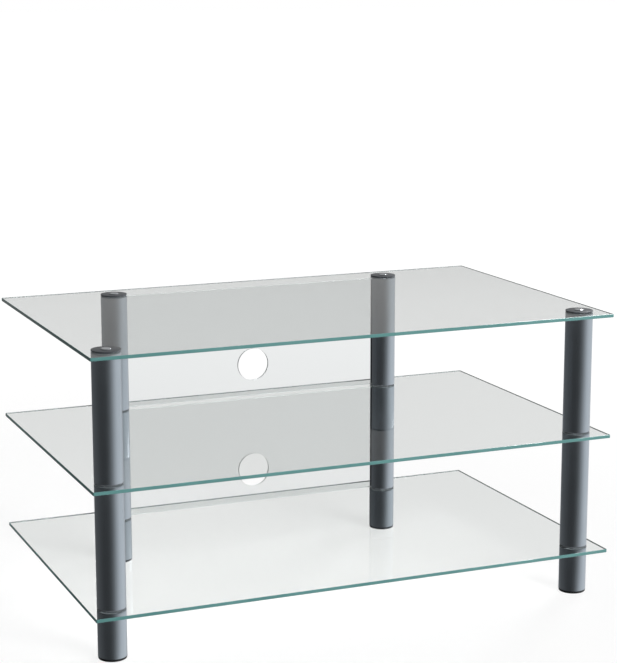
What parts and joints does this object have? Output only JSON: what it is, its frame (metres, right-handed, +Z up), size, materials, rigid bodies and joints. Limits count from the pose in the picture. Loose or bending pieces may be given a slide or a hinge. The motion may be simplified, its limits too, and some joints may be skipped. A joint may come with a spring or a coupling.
{
  "type": "glass television stand",
  "caption": "Low media stand of clear glass shelves clamped on round aluminium tube legs, with drilled glass rear panels and screw-in levelling feet.",
  "frame": {"origin": "on the floor, under the middle of the shelves", "axes": "+X along the stand's width to its right seen from the front, +Y from front to back, +Z up"},
  "size_m": [0.98, 0.6, 0.5373],
  "materials": {
    "clear_glass": "clear float glass with ground and polished edges",
    "satin_aluminium": "satin anodised",
    "grey_nylon": "moulded, matt",
    "black_nylon": "moulded, matt",
    "grey_anodised": "dark satin anodised",
    "chromed_steel": "polished chrome",
    "zinc_plated_steel": "zinc plated"
  },
  "bodies": {
    "stand": {"top_shelf": "clear_glass", "middle_shelf": "clear_glass", "bottom_shelf": "clear_glass", "upper_rear_panel": "clear_glass", "lower_rear_panel": "clear_glass", "front_left_upper_tube": "satin_aluminium", "front_left_lower_tube": "satin_aluminium", "front_left_foot_tube": "satin_aluminium", "front_left_upper_tube_top_plug": "grey_nylon", "front_left_upper_tube_base_plug": "grey_nylon", "front_left_lower_tube_top_plug": "grey_nylon", "front_left_lower_tube_base_plug": "grey_nylon", "front_left_foot_tube_top_plug": "grey_nylon", "front_left_foot_plug": "black_nylon", "front_left_top_disc": "grey_anodised", "front_left_tie_bolt": "chromed_steel", "front_right_upper_tube": "satin_aluminium", "front_right_lower_tube": "satin_aluminium", "front_right_foot_tube": "satin_aluminium", "front_right_upper_tube_top_plug": "grey_nylon", "front_right_upper_tube_base_plug": "grey_nylon", "front_right_lower_tube_top_plug": "grey_nylon", "front_right_lower_tube_base_plug": "grey_nylon", "front_right_foot_tube_top_plug": "grey_nylon", "front_right_foot_plug": "black_nylon", "front_right_top_disc": "grey_anodised", "front_right_tie_bolt": "chromed_steel", "rear_left_upper_tube": "satin_aluminium", "rear_left_lower_tube": "satin_aluminium", "rear_left_foot_tube": "satin_aluminium", "rear_left_upper_tube_top_plug": "grey_nylon", "rear_left_upper_tube_base_plug": "grey_nylon", "rear_left_lower_tube_top_plug": "grey_nylon", "rear_left_lower_tube_base_plug": "grey_nylon", "rear_left_foot_tube_top_plug": "grey_nylon", "rear_left_foot_plug": "black_nylon", "rear_left_top_disc": "grey_anodised", "rear_left_tie_bolt": "chromed_steel", "rear_right_upper_tube": "satin_aluminium", "rear_right_lower_tube": "satin_aluminium", "rear_right_foot_tube": "satin_aluminium", "rear_right_upper_tube_top_plug": "grey_nylon", "rear_right_upper_tube_base_plug": "grey_nylon", "rear_right_lower_tube_top_plug": "grey_nylon", "rear_right_lower_tube_base_plug": "grey_nylon", "rear_right_foot_tube_top_plug": "grey_nylon", "rear_right_foot_plug": "black_nylon", "rear_right_top_disc": "grey_anodised", "rear_right_tie_bolt": "chromed_steel"},
    "front_left_stud": {"front_left_foot_stud": "zinc_plated_steel"},
    "front_left_pad": {"front_left_foot_pad": "black_nylon"},
    "front_right_stud": {"front_right_foot_stud": "zinc_plated_steel"},
    "front_right_pad": {"front_right_foot_pad": "black_nylon"},
    "rear_left_stud": {"rear_left_foot_stud": "zinc_plated_steel"},
    "rear_left_pad": {"rear_left_foot_pad": "black_nylon"},
    "rear_right_stud": {"rear_right_foot_stud": "zinc_plated_steel"},
    "rear_right_pad": {"rear_right_foot_pad": "black_nylon"}
  },
  "joints": [
    {"name": "front_left_foot_lift", "type": "slide", "parent": "stand", "child": "front_left_stud", "axis": [0, 0, -1], "range_m": [0, 0.01]},
    {"name": "front_left_foot_turn", "type": "hinge", "parent": "front_left_stud", "child": "front_left_pad", "pos_m": [-0.448, -0.248, 0], "axis": [0, 0, -1], "range_deg": [0, 2880]},
    {"name": "front_right_foot_lift", "type": "slide", "parent": "stand", "child": "front_right_stud", "axis": [0, 0, -1], "range_m": [0, 0.01]},
    {"name": "front_right_foot_turn", "type": "hinge", "parent": "front_right_stud", "child": "front_right_pad", "pos_m": [0.448, -0.248, 0], "axis": [0, 0, -1], "range_deg": [0, 2880]},
    {"name": "rear_left_foot_lift", "type": "slide", "parent": "stand", "child": "rear_left_stud", "axis": [0, 0, -1], "range_m": [0, 0.01]},
    {"name": "rear_left_foot_turn", "type": "hinge", "parent": "rear_left_stud", "child": "rear_left_pad", "pos_m": [-0.284, 0.248, 0], "axis": [0, 0, -1], "range_deg": [0, 2880]},
    {"name": "rear_right_foot_lift", "type": "slide", "parent": "stand", "child": "rear_right_stud", "axis": [0, 0, -1], "range_m": [0, 0.01]},
    {"name": "rear_right_foot_turn", "type": "hinge", "parent": "rear_right_stud", "child": "rear_right_pad", "pos_m": [0.284, 0.248, 0], "axis": [0, 0, -1], "range_deg": [0, 2880]}
  ],
  "couplings": [
    {"joint": "front_left_foot_lift", "follows": "front_left_foot_turn", "m_per_rad": 0.00019894},
    {"joint": "front_right_foot_lift", "follows": "front_right_foot_turn", "m_per_rad": 0.00019894},
    {"joint": "rear_left_foot_lift", "follows": "rear_left_foot_turn", "m_per_rad": 0.00019894},
    {"joint": "rear_right_foot_lift", "follows": "rear_right_foot_turn", "m_per_rad": 0.00019894}
  ]
}
